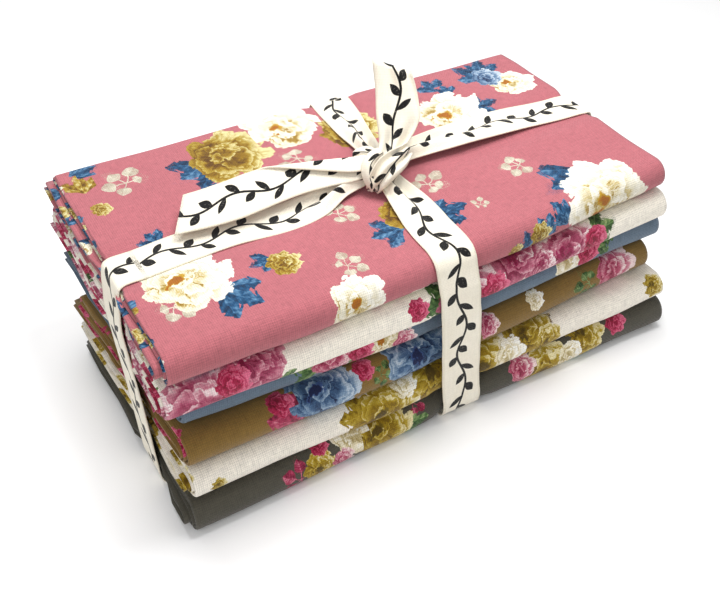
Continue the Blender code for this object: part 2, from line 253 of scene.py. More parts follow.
# The parts of the section, back and forth, and the stations on each. The last one also has its own end.
SECTION_PARTS = (
    ("under", 20), ("front bend", 15), ("top", 36), ("back bend", 9),
    ("inner top", 12), ("inner bend", 9), ("inner under", 12),
)
SECTION = [(part, n / (count - 1)) for part, count in SECTION_PARTS for n in range(count - 1)]
SECTION.append(("inner under", 1.0))


def on_bend(y, z, reach, angles, share):
    """A point on a bend round the middle y, z, and its way out from there."""
    angle = math.radians(mix(*angles, share))
    way_y, way_z = math.cos(angle), math.sin(angle)
    return y + reach * way_y, z + reach * way_z, way_y, way_z


def on_section(quarter, low, x, part, share):
    """A point on the folded band's middle line: y, z, its outward way, and the distance round the cloth."""
    front = front_at(quarter, x) + OUTER_BEND + BAND_THICKNESS / 2
    fold = mix(quarter.fold_left, quarter.fold_right, along(x)) - INNER_BEND - BAND_THICKNESS / 2
    hem = mix(quarter.hem_left, quarter.hem_right, along(x))
    lowest, second, third, highest = (low + BAND_PITCH * (n + 0.5) for n in range(4))
    middle = low + PACKET_HEIGHT / 2
    top_end = HALF_FRONT_ROUND + fold - front
    inner_start = top_end + BACK_ROUND
    inner_end = inner_start + fold - front
    if part == "under":
        y = mix(hem, front, share)
        return y, lowest, 0.0, -1.0, front - y - HALF_FRONT_ROUND
    if part == "front bend":
        spot = on_bend(front, middle, OUTER_BEND, (270, 90), share)
        return *spot, mix(-HALF_FRONT_ROUND, HALF_FRONT_ROUND, share)
    if part == "top":
        y = mix(front, fold, share)
        return y, highest, 0.0, 1.0, HALF_FRONT_ROUND + y - front
    if part == "back bend":
        spot = on_bend(fold, (third + highest) / 2, INNER_BEND, (90, -90), share)
        return *spot, top_end + BACK_ROUND * share
    if part == "inner top":
        y = mix(fold, front, share)
        return y, third, 0.0, -1.0, inner_start + fold - y
    if part == "inner bend":
        y, z, way_y, way_z = on_bend(front, middle, INNER_BEND, (90, 270), share)
        return y, z, -way_y, -way_z, inner_end + INNER_ROUND * share
    y = mix(front, hem - INNER_HEM, share)
    return y, second, 0.0, 1.0, inner_end + INNER_ROUND + y - front


def shares_along(count, margin):
    """Shares from 0 to 1 along a ply: a few close together at each end, and that many even ones between."""
    ends = [0.0, 0.006, 0.015, 0.03, 0.055]
    between = [mix(margin, 1 - margin, n / (count - 1)) for n in range(count)]
    return ends + between + [1 - share for share in reversed(ends)]


def ply_stations():
    """The stations along the three plies, which fold back and forth at the ends of the band.

    Each is (share along the band, ply, out past the end, distance along the cloth).
    """
    loop = PLY_PITCH / 2
    fine, coarse = shares_along(45, 0.085), shares_along(16, 0.1)
    bend = [math.radians(a) for a in (22, 45, 67, 90, 113, 135, 158)]
    length = STACK_RIGHT - STACK_LEFT
    rows = [(share, PLY_PITCH, 0.0, STACK_LEFT + share * length) for share in reversed(fine)]
    start = STACK_LEFT
    rows += [(0.0, loop + loop * math.cos(a), -1.3 * loop * math.sin(a), start - loop * a) for a in bend]
    start -= math.pi * loop
    rows += [(share, 0.0, 0.0, start - share * length) for share in coarse]
    start -= length
    rows += [(1.0, -loop + loop * math.cos(a), 1.3 * loop * math.sin(a), start - loop * a) for a in bend]
    start -= math.pi * loop
    rows += [(share, -PLY_PITCH, 0.0, start - (1 - share) * length) for share in reversed(coarse)]
    return rows


def cut_back(place, ply):
    """How far the end of a ply stands along the band past the fold beside it, if it is a raw end."""
    if ply <= -PLY_PITCH + 0.01 and place < 0.5:
        return RAW_LEFT
    if ply >= PLY_PITCH - 0.01 and place > 0.5:
        return RAW_RIGHT
    return 0.0


def grid_faces(rows, columns, closed=False, first=0):
    """The faces between rows of points, and from the last row to the first where they close."""
    faces = []
    for row in range(rows if closed else rows - 1):
        for column in range(columns - 1):
            a = first + row * columns + column
            b = first + (row + 1) % rows * columns + column
            faces.append((a, a + 1, b + 1, b))
    return faces


def read_all(items, name, count, kind=np.int32):
    """One value of every item of a mesh, such as the point of every corner."""
    values = np.empty(count, dtype=kind)
    items.foreach_get(name, values)
    return values


def cloth_piece(name, points, faces, places, thickness):
    """A piece of closed cloth. places says where on the flat cloth each point is, for weave and print."""
    mesh = bpy.data.meshes.new(name)
    mesh.from_pydata(points, [], faces)
    cloth_map = mesh.uv_layers.new(name="cloth")
    corner_points = read_all(mesh.loops, "vertex_index", len(mesh.loops))
    cloth_map.data.foreach_set("uv", np.array(places, dtype=np.float32)[corner_points].ravel())
    mesh.polygons.foreach_set("use_smooth", [True] * len(mesh.polygons))
    sheet = bpy.data.objects.new(name, mesh)
    bpy.context.scene.collection.objects.link(sheet)
    solid = sheet.modifiers.new("cloth", "SOLIDIFY")
    solid.thickness = thickness * MM
    solid.offset = 0.0
    solid.use_even_offset = False
    solid.material_offset = 1  # the cloth's back takes the next material
    bpy.context.view_layer.objects.active = sheet
    sheet.select_set(True)
    with bpy.context.temp_override(object=sheet, active_object=sheet, selected_objects=[sheet]):
        bpy.ops.object.modifier_apply(modifier=solid.name)
    sheet.select_set(False)
    return sheet


def fold_quarter(quarter, number):
    """One quarter as its single sheet of cloth, folded, and laid in its place in the stack."""
    low = BASE + number * PACKET_HEIGHT
    stations = ply_stations()
    points, places = [], []
    for part, share in SECTION:
        guess_y = on_section(quarter, low, 0.0, part, share)[0]
        sticks_out = quarter.inner_out if part.startswith("inner") else 0.0
        left = mix(quarter.left_front, quarter.left_back, through(guess_y)) - sticks_out
        right = mix(quarter.right_front, quarter.right_back, through(guess_y)) + 0.5 * sticks_out
        left_round = on_section(quarter, low, left, part, share)[4]
        for place, ply, out, cloth_along in stations:
            ply_number = 1 - ply / PLY_PITCH
            end_seed = number * 5.1 + 60 * (place > 0.5)
            ragged = RAGGED * noise.noise((left_round / 21, ply_number * 3.7, end_seed))
            at_end = 1 - smooth(min(place, 1 - place), 0.0, 0.05)
            x = mix(left, right, place) + out + at_end * (ragged + cut_back(place, ply))
            y, z, way_y, way_z, cloth_round = on_section(quarter, low, x, part, share)
            ply_seed = ply_number * 9.2 + number * 3.3
            lift = ply + LOOSE_PLY * noise.noise((x / 17, cloth_round / 23, ply_seed))
            point = settled(held_in(pressed((x, y + way_y * lift, z + way_z * lift))))
            point.z = max(point.z, CLOTH / 2 + OFF_TABLE)
            points.append(to_place(point))
            places.append((cloth_along, cloth_round))
    faces = grid_faces(len(SECTION), len(stations))
    return cloth_piece(quarter.node + "_cloth", points, faces, places, CLOTH)


# How often a print comes again along the cloth and around it, and how far a motif turns and changes
# each time. Its paint may stray past its reach by MOTIF_ROOM.
REPEAT_ALONG, REPEAT_ROUND = 188.0, 114.0
SIDE_TURN, UP_TURN = 150, 70
SIDE_CHANGE, UP_CHANGE = 0.31, 0.17
MOTIF_ROOM = 2.4
NOWHERE = 99.0  # a share of a motif's reach that is past every face that carries it
OFF_MOTIF = (9, 9, 0)  # the place in a motif for a face that carries none


def lay_motifs(sheet, layer, motifs):
    """Tells every face of the cloth which painted motif it carries, and where in that motif each corner is.

    A motif is (place along the cloth, place around it, reach, turn in degrees, sort). The place around is
    measured from the middle of the front bend.
    """
    mesh = sheet.data
    spots = read_all(mesh.uv_layers["cloth"].data, "uv", 2 * len(mesh.loops), np.float32)
    spots = spots.reshape(-1, 2).astype(np.float64)
    totals = read_all(mesh.polygons, "loop_total", len(mesh.polygons))
    starts = read_all(mesh.polygons, "loop_start", len(mesh.polygons))
    middle = np.add.reduceat(spots, starts, axis=0) / totals[:, None]
    nearest = np.full(len(middle), NOWHERE)
    chosen = np.full(len(middle), -1)
    laid = []
    for number, (x, around, reach, turn, sort) in enumerate(motifs):
        for side in (0, -1, -2):
            for up in (0, -1, 1, 2):
                spot = (x + side * REPEAT_ALONG, around + REPEAT_ROUND * (up + (0.5 if side else 0.0)))
                far = np.hypot(middle[:, 0] - spot[0], middle[:, 1] - spot[1])
                share = np.where(far < 1.12 * reach + MOTIF_ROOM, far / reach, NOWHERE)
                closer = share < nearest
                nearest[closer] = share[closer]
                chosen[closer] = len(laid)
                turned = math.radians(turn + SIDE_TURN * side + UP_TURN * up)
                seed = number * 1.37 + SIDE_CHANGE * side + UP_CHANGE * up
                laid.append((*spot, reach, math.cos(turned), math.sin(turned), seed, sort))
    laid.append((0.0, 0.0, 1.0, 1.0, 0.0, 0.0, 0))
    rows = np.array(laid)[np.where(chosen < 0, len(laid) - 1, chosen)]
    spot_x, spot_y, reach, turn_x, turn_y, seed, sort = np.repeat(rows, totals, axis=0).T
    away_x, away_y = (spots[:, 0] - spot_x) / reach, (spots[:, 1] - spot_y) / reach
    place = np.stack((away_x * turn_x + away_y * turn_y, away_y * turn_x - away_x * turn_y, seed), axis=1)
    place[sort == 0] = OFF_MOTIF
    places = mesh.attributes.new(layer + "_place", "FLOAT_VECTOR", "CORNER")
    places.data.foreach_set("vector", place.astype(np.float32).ravel())
    sorts = mesh.attributes.new(layer + "_sort", "FLOAT", "CORNER")
    sorts.data.foreach_set("value", sort.astype(np.float32))


class Wire:
    """A value on its way through a shader tree: a sum written with it puts in the node that works it out."""

    def __init__(self, bench, socket):
        self.bench = bench
        self.socket = socket

    def __add__(self, other):
        return self.bench.math("ADD", self, other)

    def __sub__(self, other):
        return self.bench.math("SUBTRACT", self, other)

    def __rsub__(self, other):
        return self.bench.math("SUBTRACT", other, self)

    def __mul__(self, other):
        return self.bench.math("MULTIPLY", self, other)

    def __truediv__(self, other):
        return self.bench.math("DIVIDE", self, other)

    def __mod__(self, other):
        return self.bench.math("FLOORED_MODULO", self, other)

    def __pow__(self, other):
        return self.bench.math("POWER", self, other)

    def __abs__(self):
        return self.bench.math("ABSOLUTE", self)


class Bench:
    """One shader tree being wired up: each call puts in a node, joins what feeds it and gives its output."""

    def __init__(self, tree):
        self.tree = tree

    def feed(self, socket, value):
        """Gives a socket its value, or joins a wire to it."""
        if isinstance(value, Wire):
            self.tree.links.new(value.socket, socket)
        else:
            socket.default_value = value

    def put(self, kind, output, feeds, **settings):
        """Puts in a node with these settings and (input, value) feeds, and gives one of its outputs."""
        node = self.tree.nodes.new(kind)
        for name, setting in settings.items():
            setattr(node, name, setting)
        for label, value in feeds:
            self.feed(node.inputs[label], value)
        return Wire(self, node.outputs[output])

    def math(self, operation, *values, clamp=False):
        """A sum, on vectors if any of its values is one."""
        output = "Value" if operation == "LENGTH" else 0
        if any(isinstance(value, Wire) and value.socket.type != "VALUE" for value in values):
            return self.put("ShaderNodeVectorMath", output, enumerate(values), operation=operation)
        return self.put("ShaderNodeMath", 0, enumerate(values), operation=operation, use_clamp=clamp)

    def sine(self, value):
        return self.math("SINE", value)

    def clamped(self, value):
        """The same value, kept between 0 and 1."""
        return self.math("ADD", value, 0.0, clamp=True)

    def split(self, vector):
        first = self.put("ShaderNodeSeparateXYZ", 0, ((0, vector),))
        return [Wire(self, socket) for socket in first.socket.node.outputs]

    def joined(self, x, y, z):
        return self.put("ShaderNodeCombineXYZ", 0, enumerate((x, y, z)))

    def away(self, x, y):
        """How far a place is from the middle."""
        return self.math("LENGTH", self.joined(x, y, 0.0))

    def ease(self, value, low, high):
        """0 below low and 1 above high, with soft ends."""
        feeds = (("Value", value), ("From Min", low), ("From Max", high))
        return self.put("ShaderNodeMapRange", 0, feeds, interpolation_type="SMOOTHSTEP")

    def grain(self, vector, scale, detail=2.0, output="Fac"):
        """Soft noise, from about 0 to 1."""
        feeds = (("Vector", vector), ("Scale", scale), ("Detail", detail))
        return self.put("ShaderNodeTexNoise", output, feeds)

    def wander(self, vector, scale, detail):
        """Soft noise that strays every way from 0."""
        return self.grain(vector, scale, detail, "Color") - (0.5, 0.5, 0.5)

    def chance(self, vector):
        return self.put("ShaderNodeTexWhiteNoise", "Value", (("Vector", vector),))

    def level(self, share, low, high):
        """The number that lies that share of the way from low to high."""
        return self.put("ShaderNodeMix", 0, ((0, share), (2, low), (3, high)))

    def blend(self, share, low, high, way="MIX"):
        """The colour that lies that share of the way from low to high."""
        feeds = ((0, share), (6, low), (7, high))
        return self.put("ShaderNodeMix", 2, feeds, data_type="RGBA", blend_type=way)

    def ramp(self, value, stops):
        """The colour at that value on a ramp of (position, colour) stops."""
        shown = self.put("ShaderNodeValToRGB", 0, ((0, value),))
        steps = shown.socket.node.color_ramp.elements
        while len(steps) < len(stops):
            steps.new(0.5)
        for step, (position, colour) in zip(steps, stops):
            step.position = position
            step.color = colour
        return shown

    def by_sort(self, sort, choices, pick):
        """The choice for a motif's sort, counted from 1. pick is level for numbers, blend for colours."""
        chosen = choices[0]
        for number, choice in enumerate(choices[1:], 2):
            chosen = pick(self.math("COMPARE", sort, float(number), 0.4), chosen, choice)
        return chosen

    def attribute(self, name, output):
        return self.put("ShaderNodeAttribute", output, (), attribute_name=name)

    def placed(self, group, **values):
        """Puts an effect in this tree and gives its outputs by name."""
        feeds = ((label.replace("_", " "), value) for label, value in values.items())
        first = self.put("ShaderNodeGroup", 0, feeds, node_tree=group)
        return {socket.name: Wire(self, socket) for socket in first.socket.node.outputs}


def effect(name, takes, gives):
    """A new shader effect with named inputs and outputs, ready to be wired. A "place" is a vector input."""
    group = bpy.data.node_groups.new(name, "ShaderNodeTree")
    for label, value in takes.items():
        kind = "NodeSocketVector" if value == "place" else "NodeSocketFloat"
        socket = group.interface.new_socket(name=label, in_out="INPUT", socket_type=kind)
        if value != "place":
            socket.default_value = value
    for label in gives:
        group.interface.new_socket(name=label, in_out="OUTPUT", socket_type="NodeSocketFloat")
    bench = Bench(group)
    entry = group.nodes.new("NodeGroupInput")
    leaving = group.nodes.new("NodeGroupOutput")
    return group, bench, {label: Wire(bench, entry.outputs[label]) for label in takes}, leaving.inputs


def dye(red, green, blue):
    """A colour as a dyer's card gives it, 0 to 255 each, made ready for a shader."""
    return tuple((c / 255) ** 2.2 for c in (red, green, blue)) + (1.0,)


def shades(*stops):
    """A ramp of dyes, from (position, red, green, blue) stops."""
    return [(position, dye(*colour)) for position, *colour in stops]


# Plain weave: threads over and under each other, with the thick and thin places of spun cotton.
woven_cotton, bench, takes, gives = effect(
    "woven_cotton", {"Cloth": "place", "Thread": 0.66, "Slubs": 1.0}, ("Height", "Shade")
)
warp, weft, _ = bench.split(takes["Cloth"] / takes["Thread"])
over = (bench.math("FLOOR", warp) + bench.math("FLOOR", weft)) % 2.0
weave_height = bench.level(over, abs(bench.sine(warp * math.pi)), abs(bench.sine(weft * math.pi)))
warp_slub = bench.grain(takes["Cloth"] * (1.9, 0.3, 1.0), 1.0, 1.0)
weft_slub = bench.grain(takes["Cloth"] * (0.3, 1.9, 1.0), 1.0, 1.0)
slub = (warp_slub + weft_slub - 1.0) * takes["Slubs"]
bench.feed(gives["Height"], slub * 0.4 + weave_height)
# Shade is painted shade where the threads dip between their crowns, together with the slubs' own uneven
# tone.
bench.feed(gives["Shade"], slub * 0.44 + weave_height * 0.4 + 0.22)

# A hand-painted bloom: rings of scalloped petals, dark where they tuck in and light at their rims.
# Each ring has its reach and its number of petals. RING_SWAY is how far each ring inward lies off centre.
PETAL_RINGS = ((1.0, 7), (0.83, 6), (0.66, 5), (0.50, 5), (0.34, 4), (0.20, 3))
RING_SWAY = 0.035
painted_bloom, bench, takes, gives = effect(
    "painted_bloom", {"Place": "place", "Looseness": 0.7, "Crinkle": 0.16}, ("Shape", "Tone", "Heart")
)
at_x, at_y, seed = bench.split(takes["Place"])
seeded_place = bench.joined(at_x, at_y, seed * 3.7)
loose = bench.wander(seeded_place, 2.0, 4.0) * takes["Looseness"]
ruffle = bench.wander(seeded_place, 9.0, 2.0) * takes["Crinkle"]
drawn_x, drawn_y, _ = bench.split(bench.joined(at_x, at_y, 0.0) + (loose + ruffle))
bloom_tone = 0.5
for ring, (reach, petals) in enumerate(PETAL_RINGS):
    sway = seed * 11.0 + ring * 1.9
    ring_x = bench.math("COSINE", sway) * (-RING_SWAY * ring) + drawn_x
    ring_y = bench.sine(sway) * (-RING_SWAY * ring) + drawn_y
    out = bench.away(ring_x, ring_y)
    wave = bench.math("ARCTAN2", ring_y, ring_x) * (petals / 2) + (seed * 5.0 + ring * 1.3)
    lobe = abs(bench.sine(wave))
    rim = lobe ** 0.5 * (0.22 * reach) + 0.74 * reach
    inside = bench.ease(rim - out, 0.0, 0.03)
    petal = bench.math("FLOOR", wave / math.pi % float(petals))
    liking = bench.chance(bench.joined(petal, float(ring), seed))
    is_last = ring == len(PETAL_RINGS) - 1
    rise = bench.ease(out, 0.0 if is_last else PETAL_RINGS[ring + 1][0] * 0.78, rim)
    tone = rise * 0.62 + (liking * 0.26 - 0.16) + bench.ease(lobe, 0.0, 0.38) * 0.28
    bloom_tone = bench.level(inside, bloom_tone, bench.clamped(tone))
    if ring == 0:
        bench.feed(gives["Shape"], inside)
away = bench.away(drawn_x, drawn_y)
brush_turn, brush_rise, _ = bench.split(bench.joined(drawn_x, drawn_y, 0.0) / away)
brush = bench.grain(bench.joined(brush_turn * 5.0, brush_rise * 5.0, away * 1.6 + seed), 2.2, 2.0)
bench.feed(gives["Tone"], bench.clamped((brush - 0.5) * 0.8 + (at_x * 0.34 + bloom_tone)))
speckle = bench.grain(seeded_place, 5.0, 3.0)
heart_way = bench.away(speckle * 0.5 + (at_x - 0.1), (at_y - 0.1) * 1.6)
bench.feed(gives["Heart"], bench.ease(speckle * 0.9 - 0.2 - heart_way, 0.0, 0.3))

# A painted spray of pointed leaves that fan out from one stalk, each with a midrib and side veins.
painted_leaves, bench, takes, gives = effect(
    "painted_leaves",
    {
        "Place": "place", "Slimness": 0.3, "Spread": 2.4, "Stalk": 0.0, "Apart": 0.66, "Set Back": 0.82,
        "Lobes": 0.0,
    },
    ("Shape", "Tone"),
)
at_x, at_y, seed = bench.split(takes["Place"])
loose = bench.wander(bench.joined(at_x, at_y, seed * 2.9), 2.1, 4.0) * (0.26, 0.26, 0.0)
drawn_x, drawn_y, _ = bench.split(bench.joined(at_x + takes["Set Back"], at_y, 0.0) + loose)
out = bench.away(drawn_x, drawn_y)
turn = bench.math("ARCTAN2", drawn_y, drawn_x) / takes["Apart"]
leaf = bench.math("ROUND", turn)
aside = (turn - leaf) * takes["Apart"]
liking = bench.chance(bench.joined(leaf, seed, 0.4))
leaf_length = liking * -0.4 + 0.98 - abs(leaf) * 0.15 + takes["Set Back"]
up_stalk = out * bench.math("COSINE", aside) / leaf_length
up_leaf = (up_stalk - takes["Stalk"]) / (1.0 - takes["Stalk"])
off_rib = out * bench.sine(aside)
off_share = abs(off_rib)
swell = bench.math("MAXIMUM", bench.sine(bench.clamped(up_leaf) ** 0.8 * math.pi), 0.0)
lobe = bench.math("FRACT", up_leaf * 3.4 + off_rib * 2.0)
half_leaf = swell ** 0.7 * takes["Slimness"] * ((0.4 - lobe) * takes["Lobes"] + 1.0)
blade = bench.ease(half_leaf - off_share, 0.0, 0.025)
in_fan = bench.math("LESS_THAN", abs(leaf) * takes["Apart"], takes["Spread"] * 0.5)
stalk = (1.0 - bench.ease(off_share, 0.01, 0.035)) * bench.math("LESS_THAN", up_stalk, 0.5)
bench.feed(gives["Shape"], bench.math("MAXIMUM", blade, stalk) * in_fan)
veins = bench.sine(up_leaf * 34.0 + off_share * -26.0)
tone = bench.ease(off_rib, -0.03, 0.03) * 0.26 + liking * 0.24 + 0.42
tone = tone + bench.ease(off_share, 0.0, 0.035) * -0.26 + veins * 0.09
patchy = bench.grain(bench.joined(at_x, at_y, seed), 4.0, 4.0)
bench.feed(gives["Tone"], bench.clamped((patchy - 0.5) * 1.7 + tone))

# How the three sorts of spray are painted: a lobed leaf, a sprig of small leaves on stalks, and another
# lobed leaf.
SPRAY_FORMS = {
    "Slimness": (0.46, 0.3, 0.36), "Stalk": (0.0, 0.4, 0.0), "Spread": (2.4, 4.6, 2.4),
    "Apart": (0.66, 1.08, 0.66), "Set_Back": (0.82, 0.2, 0.82), "Lobes": (0.55, 0.0, 0.5),
}
OCHRE_POLLEN, ORANGE_HEART = dye(186, 148, 42), dye(160, 96, 24)


def new_cotton(name, **weave_values):
    """A new cotton material: itself, the bench it is wired on, the place on the cloth, and its weave."""
    material = bpy.data.materials.new(name)
    material.use_nodes = True
    bench = Bench(material.node_tree)
    cloth = bench.attribute("cloth", "Vector")
    return material, bench, cloth, bench.placed(woven_cotton, Cloth=cloth, **weave_values)


def finish_cotton(material, bench, colour, weave, greys, roughness, sheen, height, relief):
    """Gives a cotton its colour and its feel. The weave shades it by the greys, from deep to high."""
    surface = material.node_tree.nodes["Principled BSDF"]
    deep_rough, high_rough = roughness
    # The greys paint shade into the colour where the threads dip, and follow the slubs' own lighter and
    # darker tone.
    depth = bench.ramp(weave["Shade"], [(n / 2, (grey, grey, grey, 1)) for n, grey in enumerate(greys)])
    bench.feed(surface.inputs["Base Color"], bench.blend(1.0, colour, depth, "MULTIPLY"))
    bench.feed(surface.inputs["Roughness"], weave["Shade"] * (high_rough - deep_rough) + deep_rough)
    settle(surface, Specular_IOR_Level=0.25, Sheen_Weight=sheen, Sheen_Roughness=0.5)
    bump = bench.put("ShaderNodeBump", 0, (("Strength", relief), ("Distance", 0.00012), ("Height", height)))
    bench.feed(surface.inputs["Normal"], bump)


def printed_cotton(name, ground, blooms, leaves, pollen=OCHRE_POLLEN, heart=ORANGE_HEART, back=False):
    """Quilting cotton with a flower print. blooms and leaves hold a colour ramp for each sort of motif."""
    material, bench, cloth, weave = new_cotton(name)
    colour = bench.blend(bench.grain(cloth, 0.05, 3.0) * 0.16, ground, (1, 1, 1, 1), "OVERLAY")

    def sorted_colours(tone, sort, ramps):
        return bench.by_sort(sort, [bench.ramp(tone, stops) for stops in ramps], bench.blend)

    spray_place, spray_sort = bench.attribute("leaf_place", "Vector"), bench.attribute("leaf_sort", "Fac")
    form = {label: bench.by_sort(spray_sort, values, bench.level) for label, values in SPRAY_FORMS.items()}
    painted = bench.placed(painted_leaves, Place=spray_place, **form)
    colour = bench.blend(painted["Shape"], colour, sorted_colours(painted["Tone"], spray_sort, leaves))
    for layer in ("bloom", "over"):
        sort = bench.attribute(layer + "_sort", "Fac")
        painted = bench.placed(painted_bloom, Place=bench.attribute(layer + "_place", "Vector"))
        petals = sorted_colours(painted["Tone"], sort, blooms)
        in_heart = bench.ease(painted["Heart"], 0.0, 0.12) * bench.math("COMPARE", sort, 1.0, 0.4)
        heart_colour = bench.blend(bench.ease(painted["Heart"], 0.1, 0.4), pollen, heart)
        petals = bench.blend(in_heart, petals, heart_colour)
        colour = bench.blend(painted["Shape"], colour, petals)
    if back:
        colour = bench.blend(0.55, colour, bench.blend(0.35, ground, (0.85, 0.83, 0.8, 1)))
    finish_cotton(
        material, bench, colour, weave, greys=(0.5, 0.96, 1.3), roughness=(0.78, 0.94), sheen=0.16,
        height=weave["Height"], relief=0.55,
    )
    return material


def finish_quarter(quarter, number, prints, ground, **looks):
    """Folds a quarter, prints it, and puts it in the place of its plain solid."""
    sheet = fold_quarter(quarter, number)
    for layer in ("leaf", "bloom", "over"):
        lay_motifs(sheet, layer, prints[layer])
    colour = quarter.node.split("_")[2]
    sheet.data.materials.append(printed_cotton(colour + "_print", ground, **looks))
    sheet.data.materials.append(printed_cotton(colour + "_back", ground, back=True, **looks))
    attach(sheet, "root")
    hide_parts(quarter.node)
    "cream_print" if colour == "rose" else colour + "_print"
    return sheet


GOLD_ROSE = shades((0.0, 98, 74, 6), (0.35, 148, 119, 17), (0.7, 181, 156, 54), (1.0, 230, 218, 170))
PINK_ROSE = shades((0.0, 126, 28, 56), (0.35, 180, 76, 104), (0.7, 206, 138, 152), (1.0, 238, 214, 212))
CRIMSON_ROSE = shades((0.0, 112, 14, 40), (0.5, 176, 40, 78), (1.0, 220, 110, 140))
CREAM_ROSE = shades((0.0, 170, 150, 96), (0.35, 222, 208, 168), (0.7, 244, 238, 220), (1.0, 252, 250, 242))
GREEN_LEAF = shades((0.0, 30, 54, 24), (0.5, 78, 112, 60), (1.0, 160, 180, 120))
MAROON_LEAF = shades((0.0, 90, 20, 44), (0.5, 168, 52, 84), (1.0, 216, 130, 150))
OLIVE_POLLEN, OLIVE_HEART = dye(112, 92, 16), dye(84, 66, 12)

grey_quarter = Quarter(
    "cloth_1_grey", -58, -56, -57, 37, 45, 40, 47, -94, -93, 90, 90, 1.6,
)
grey_prints = {
    "bloom": (
        (-30, 3, 12, 20, 1), (-54, -1, 7, 0, 1), (-41, 6, 8, 60, 4), (38, -2, 12, 60, 1),
        (56, 5, 9, 10, 1), (-10, 28, 13, 0, 1), (30, 44, 12, 0, 2), (72, 60, 12, 0, 1),
        (-60, 60, 14, 0, 1), (-30, 84, 12, 0, 2),
    ),
    "over": (
        (-46, -1, 4.5, 0, 2), (-53, 7.5, 4, 0, 3), (27, 3, 6, 0, 2), (48, 0, 6, 0, 4), (70, 5, 5, 0, 3),
    ),
    "leaf": (
        (-20, -4, 10, -40, 1), (52, -4, 9, 200, 1), (-63, 0, 8, 150, 2), (-16, 7, 6, 20, 2),
        (14, 16, 9, 30, 1), (46, 60, 10, 0, 1), (-50, 36, 10, 90, 1),
    ),
}
grey_cloth = finish_quarter(
    grey_quarter, 0, grey_prints, dye(76, 73, 64), pollen=OLIVE_POLLEN, heart=OLIVE_HEART,
    blooms=(GOLD_ROSE, PINK_ROSE, CRIMSON_ROSE, CREAM_ROSE), leaves=(GREEN_LEAF, MAROON_LEAF),
)


# Cloth 2, warm white
# The second quarter, of the same cotton, folded as the first and laid on it. It is printed with
# olive-gold roses and cream buds on a warm white ground.

# Leaves away from the front, which several of the prints have at the same places.
FAR_LEAVES = ((52, 60, 10, 0, 1), (-40, 60, 10, 90, 1))

white_quarter = Quarter(
    "cloth_2_white", -55.3, -56, -55, 32, 44, 37, 46, -92, -94.5, 89.5, 89, 1.2,
)
white_prints = {
    "bloom": (
        (-30, -1, 13, 20, 1), (-10, 7, 13, 90, 1), (10, -2, 14, 0, 1), (29, 6, 11, 60, 1), (87, 3, 5, 10, 1),
        (-60, 40, 14, 0, 1), (-20, 60, 13, 0, 1), (40, 40, 12, 0, 1), (70, 80, 13, 0, 1), (0, 90, 12, 0, 1),
    ),
    "over": (
        (-22, 6, 5, 0, 3), (-1, -1, 7, 30, 1), (20, 0, 7, 0, 3), (37, 0, 6, 80, 1), (-90, -1, 3, 0, 1),
        *((-101.5, around, 5.2, 9 * around, 1) for around in range(6, 114, 22)),
    ),
    "leaf": ((-42, 2, 8, 170, 1), (36, 1, 8, -10, 1), (0, -6, 8, 200, 1), *FAR_LEAVES),
}
white_cloth = finish_quarter(
    white_quarter, 1, white_prints, dye(241, 233, 218), pollen=OLIVE_POLLEN, heart=OLIVE_HEART,
    blooms=(GOLD_ROSE, PINK_ROSE, CREAM_ROSE), leaves=(GOLD_ROSE, GREEN_LEAF),
)


# Cloth 3, tan
# The third quarter, of the same cotton, folded as the others and laid on the white one. It is printed
# with blue roses and crimson sprays on a khaki tan ground.

# Blooms away from the front, which this print and the next two have at the same places.
FAR_BLOOMS = ((-60, 44, 14, 0, 1), (-10, 60, 13, 0, 2), (40, 40, 12, 0, 1))
BLUE_ROSE = shades((0.0, 18, 34, 66), (0.35, 66, 95, 131), (0.7, 120, 146, 173), (1.0, 184, 198, 212))

tan_quarter = Quarter(
    "cloth_3_tan", -53.6, -53.9, -48.3, 29, 43, 35, 46, -91.5, -96.5, 85.5, 85, 0.8,
)
tan_prints = {
    "bloom": (
        (-50, 5, 14, 20, 1), (-14, 5, 14, 90, 1), (75, 1, 10, 0, 2), (-65, 6, 5, 0, 3), (14, 3, 5, 0, 2),
        *FAR_BLOOMS, (70, 80, 13, 0, 2),
    ),
    "over": (
        (-35, 6, 4, 0, 3), (36, 4, 4, 0, 4),
        *((-101, around, 4.8, 9 * around, 3) for around in range(10, 114, 26)),
    ),
    "leaf": (
        (-65, -1, 10, 150, 1), (-29, 2, 5, -20, 2), (52, 60, 10, 0, 2), (-40, 60, 10, 90, 1),
        (60, 1, 7, 180, 2),
    ),
}
tan_cloth = finish_quarter(
    tan_quarter, 2, tan_prints, dye(125, 98, 50), pollen=dye(60, 84, 134), heart=dye(26, 36, 72),
    blooms=(BLUE_ROSE, PINK_ROSE, CRIMSON_ROSE, CREAM_ROSE), leaves=(MAROON_LEAF, GREEN_LEAF),
)


# Cloth 4, grey-blue
# The fourth quarter, of the same cotton, folded as the others and laid on the tan one. It is printed
# with white and crimson roses and green leaves on a soft grey-blue ground.

blue_quarter = Quarter(
    "cloth_4_blue", -48.3, -50.8, -47.5, 44, 47, 46, 49, -89.5, -93, 89, 88, 1.4,
)
blue_prints = {
    "bloom": (
        (-48, 2, 8, 20, 2), (-30, 3, 8, 90, 1), (48, 3, 8, 0, 1), *FAR_BLOOMS, (70, 80, 13, 0, 2),
    ),
    "over": ((-38, 0, 5, 0, 3), (57, 2, 6, 0, 3), (-22, -2, 5, 0, 2)),
    "leaf": (
        (-58, 3, 8, 170, 1), (-24, 4, 8, 10, 1), (-40, -6, 8, 200, 1), (65, 4, 7, 0, 1), *FAR_LEAVES,
    ),
}
blue_cloth = finish_quarter(
    blue_quarter, 3, blue_prints, dye(94, 110, 126),
    blooms=(CREAM_ROSE, PINK_ROSE, CRIMSON_ROSE), leaves=(GREEN_LEAF, MAROON_LEAF),
)


# Cloth 5, cream with roses
# The fifth quarter, of the same cotton, folded as the others and laid on the blue one. It is printed
# with mauve and crimson roses and green leaves on a cream ground.

